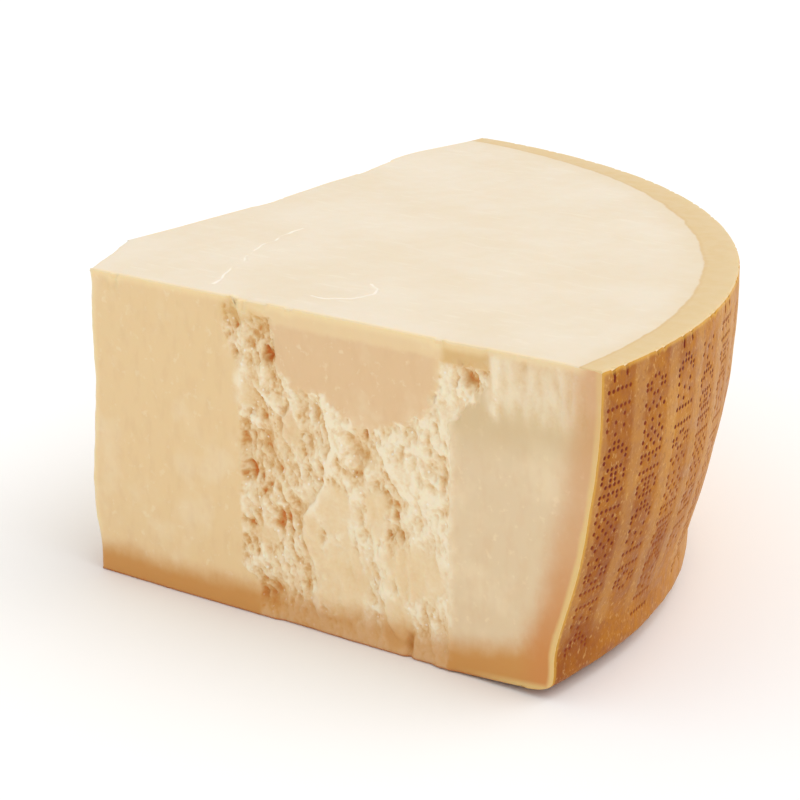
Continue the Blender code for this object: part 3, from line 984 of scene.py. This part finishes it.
def makeOpenPaste(look):
    tree, shader = newMaterial("agedPasteSplitAndCut", look)
    add = partial(addNode, tree)
    where = add("position")
    names = "split", "low", "tint", "side", "base", "edge", "rim", "lip"
    torn, low, tint, side, base, edge, rim, lip = (add("attribute", attribute_name=name) for name in names)

    # the blade cuts: pink, yellow or pale, with a pale lip under the top and a tan shelf under the folds
    stops = (0, look["cutPink"]), (0.5, look["cut"]), (1, look["cutPale"])
    cut = add("ramp", add("range", tint, 0.5, 1), stops=stops)
    cut = overlaid(add, where, cut, look["overlays"])
    ragged = add("noise", where, scaleFor(look["ragged"]), 3)
    ragged = add("plus", base, add("range", ragged, -1.5, 1.5))
    panel = add("fade", tint, -0.2, -0.8)
    cut = add("mix", add("times", add("fade", ragged, 102.6, 104.8, 0, 0.7), panel), cut, look["underTop"])
    shelf = add("times", add("fade", ragged, 70, 86), add("fade", ragged, 90, 97, 1, 0))
    shelf = add("times", shelf, add("fade", tint, 0.3, 0.9, 0, 0.7))
    cut = add("mix", shelf, cut, look["underFolds"])

    # the split: painted shade in its pits and hollows and painted highlight on its crests, from its height,
    # with crystals
    fine = add("noise", where, scaleFor(look["crumbTone"]), 3)
    level = add("plus", low, add("range", fine, -0.45, 0.45))
    stops = (0, look["pit"]), (0.22, look["hollow"]), (0.5, look["grain"]), (0.82, look["crest"])
    grain = add("ramp", add("range", level, 0.57, 1.03), stops=stops)
    sparkle = add("cells", where, scaleFor(look["crystals"]))
    crystals = add("times", add("fade", sparkle, 0.08, 0.16, 1, 0), torn)
    grain = add("mix", add("times", crystals, 0.6), grain, look["crystal"])
    colour = add("mix", torn, cut, grain)
    # the deepest hollows painted dark amber: painted shade
    colour = add("mix", add("fade", low, -1, -1.8, 0, 0.9), colour, look["pit"])
    colour = add("mix", add("times", lip, 0.75), colour, look["lip"])

    # the dried bands above the base and beside the rind, with a pale strip right at the rind
    wander = add("range", add("noise", where, scaleFor(look["bandWander"]), 5), -3.5, 3.5)
    fromBase = add("minus", add("plus", base, wander), add("times", rim, 4))
    baseShare = add("times", add("fade", fromBase, 5, 15, 1, 0), add("range", torn, 1, 0.75))
    colour = add("mix", baseShare, colour, look["nearBase"])
    sideShare = add("fade", add("plus", side, wander), 4, 16, 0.95, 0)
    sideShare = add("times", sideShare, add("fade", base, 8, 70, 1, 0.55))
    colour = add("mix", sideShare, colour, look["nearSide"])
    strip = add("fade", add("plus", side, add("times", wander, 0.15)), 1.4, 3, 0.85, 0)
    strip = add("times", strip, add("fade", base, 50, 105, 1, 0.55))
    underRim = add("times", add("fade", base, 1, 3.2, 0.8, 0), rim)
    colour = add("mix", add("larger", strip, underRim), colour, look["sideStrip"])
    skin = add("times", add("fade", base, 0.3, 1.2, 0.7, 0), add("range", rim, 1, 0))
    colour = add("mix", skin, colour, look["baseSkin"])
    # a pale band along the face's edges away from the base and the rind: painted glow, as of light through
    # the thin paste there
    paintedEdgeGlow = add("times", add("fade", edge, 0.3, 3.2, 0.6, 0), add("fade", base, 12, 18))
    paintedEdgeGlow = add("times", paintedEdgeGlow, add("fade", side, 3, 9))
    colour = add("mix", paintedEdgeGlow, colour, look["edge"])
    tree.links.new(colour, shader.inputs["Base Color"])

    rough = add("minus", add("range", torn, 0.46, 0.68), add("times", crystals, 0.35))
    tree.links.new(rough, shader.inputs["Roughness"])
    waxy = add("noise", add("stretch", where, (1, 1, 0.35)), scaleFor(look["waxyDrag"]), 4)
    crumb = add("times", add("noise", where, scaleFor(look["crumb"]), 4), add("range", torn, 0.15, 1.35))
    relief = add("plus", add("times", waxy, 0.5), crumb)
    tree.links.new(add("bump", 0.4, 0.4 * mm, relief), shader.inputs["Normal"])


# Natural rind: brushed and oiled for two years, so it is hard, amber to brown, with a dull polish and scuffs.
rindLook = {
    "light": "d29e50", "amber": "b97618", "brown": "964f00", "bareStrip": "dcb06c", "rim": "e0ad48",
    "mark": "6e1e0c", "oldMark": "a84e1a", "halo": "9a4410",
    "overlays": (  # pale scuffs and brown stains
        ("dcb06c", 1.3, 4, (0.54, 0.72, 0, 0.45), (1, 1, 0.7)),
        ("8a4a12", 1.9, 4, (0.54, 0.72, 0, 0.45), (1, 1, 1)),
    ),
    "cloud": 30, "patch": 5, "bristle": 2.4, "grit": 0.7,  # sizes in millimetres
    "shader": {"Roughness": 0.5, "IOR": 1.45, "Specular IOR Level": 0.2, "Subsurface Weight": 0.06,
               "Subsurface Radius": (1, 0.45, 0.2), "Subsurface Scale": 2.0 * mm},
}


def makeRind(look):
    tree, shader = newMaterial("naturalRindBrushed", look)
    add = partial(addNode, tree)
    where = add("position")
    names = "dot", "worn", "round", "stripe", "edge"
    dot, worn, around, stripe, edge = (add("attribute", attribute_name=name) for name in names)
    cloud = add("noise", where, scaleFor(look["cloud"]), 4)
    patch = add("noise", where, scaleFor(look["patch"]), 4)
    level = add("plus", add("times", cloud, 0.7), add("times", patch, 0.4))
    # painted light: darker brown at the front corner, lighter towards the back
    level = add("plus", level, add("range", around, -0.42, 0.2))
    stops = (0.05, look["brown"]), (0.35, look["amber"]), (0.85, look["light"])
    colour = add("ramp", level, stops=stops)
    colour = add("mix", add("times", stripe, 0.22), colour, look["bareStrip"])
    colour = overlaid(add, where, colour, look["overlays"])
    halo = add("times", add("fade", dot, 0.02, 0.22), add("range", worn, 0.75, 0.35))
    colour = add("mix", halo, colour, look["halo"])
    inked = add("times", add("fade", dot, 0.10, 0.32), add("range", worn, 1, 0.4))
    colour = add("mix", inked, colour, add("mix", worn, look["mark"], look["oldMark"]))
    colour = add("mix", add("fade", edge, 0.4, 1.8, 0.55, 0), colour, look["rim"])
    tree.links.new(colour, shader.inputs["Base Color"])
    tree.links.new(add("fade", patch, 0.3, 0.7, 0.38, 0.58), shader.inputs["Roughness"])
    bristles = add("noise", where, scaleFor(look["bristle"]), 4)
    grit = add("noise", where, scaleFor(look["grit"]), 3)
    relief = add("plus", bristles, add("times", grit, 0.4))
    tree.links.new(add("bump", 0.45, 0.35 * mm, relief), shader.inputs["Normal"])


makeTopCut(topCut)
makeOpenPaste(openPaste)
makeRind(rindLook)
print("materials:", len(chunkMesh.materials))

studio = {
    "floor": "fafafa", "floorSize": 12.0, "ambient": 0.82,
    "sunPower": 1.15, "sunSpread": 60, "sunFrom": (0.45, 0.25, 0.85), "sunColour": (1.0, 0.985, 0.96),
    "cameraAt": (0.398934, -0.655361, 0.3073), "cameraTilt": 71.14, "cameraTurn": 34.59,
    "lens": 98.98, "sensor": 36,
}

bpy.ops.mesh.primitive_plane_add(size=studio["floorSize"], location=(0, 0, 0))
floor = bpy.context.object
floor.name = "floor"
floorPaint = bpy.data.materials.new("whiteStudioBoard")
floorPaint.use_nodes = True
board = floorPaint.node_tree.nodes["Principled BSDF"]
board.inputs["Base Color"].default_value = srgb(studio["floor"])
board.inputs["Roughness"].default_value = 0.9
board.inputs["Specular IOR Level"].default_value = 0.1
floor.data.materials.append(floorPaint)

world = bpy.context.scene.world or bpy.data.worlds.new("softRoom")
bpy.context.scene.world = world
world.use_nodes = True
world.node_tree.nodes["Background"].inputs[0].default_value = (1.0, 1.0, 1.0, 1)
world.node_tree.nodes["Background"].inputs[1].default_value = studio["ambient"]

sunLight = bpy.data.lights.new("softbox", "SUN")
sunLight.energy = studio["sunPower"]
sunLight.angle = math.radians(studio["sunSpread"])
sunLight.color = studio["sunColour"]
sun = bpy.data.objects.new("softbox", sunLight)
sun.rotation_mode = "QUATERNION"
sun.rotation_quaternion = Vector(studio["sunFrom"]).to_track_quat("Z", "Y")
bpy.context.scene.collection.objects.link(sun)

lens = bpy.data.cameras.new("camera")
lens.lens = studio["lens"]
lens.sensor_width = studio["sensor"]
camera = bpy.data.objects.new("camera", lens)
camera.location = studio["cameraAt"]
camera.rotation_euler = Euler((math.radians(studio["cameraTilt"]), 0, math.radians(studio["cameraTurn"])))
bpy.context.scene.collection.objects.link(camera)
bpy.context.scene.camera = camera
bpy.context.scene.view_settings.view_transform = "Standard"
print("floor, light and camera are in place")
